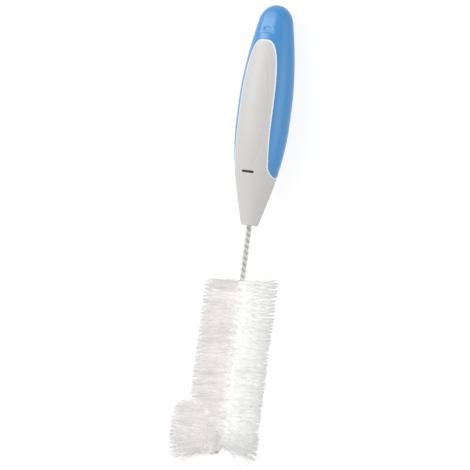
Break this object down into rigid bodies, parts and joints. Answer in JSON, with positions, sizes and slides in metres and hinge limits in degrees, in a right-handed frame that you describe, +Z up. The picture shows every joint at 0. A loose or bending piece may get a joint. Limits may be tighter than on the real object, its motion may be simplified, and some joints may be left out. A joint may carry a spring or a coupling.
{
  "type": "bottle brush",
  "caption": "Bottle brush with an oval two-colour handle, a twisted wire stem, a round bristle head and a folded-back side toe.",
  "frame": {"origin": "on the floor, under the middle of the box of the brush as it lies", "axes": "+X along the brush toward the butt of the handle, +Z up, out of the front window; the toe points up and toward +Y"},
  "size_m": [0.3118, 0.0578, 0.0647],
  "materials": {
    "hard_plastic": "satin off-white moulding",
    "soft_grip": "smooth soft-touch blue",
    "wire": "bright drawn wire",
    "bristle": "translucent white filaments"
  },
  "bodies": {
    "root": {"handle_body": "hard_plastic", "grip_cover": "soft_grip", "stem_wire": "wire", "bristles_main": "bristle", "bristles_toe": "bristle"}
  },
  "joints": []
}
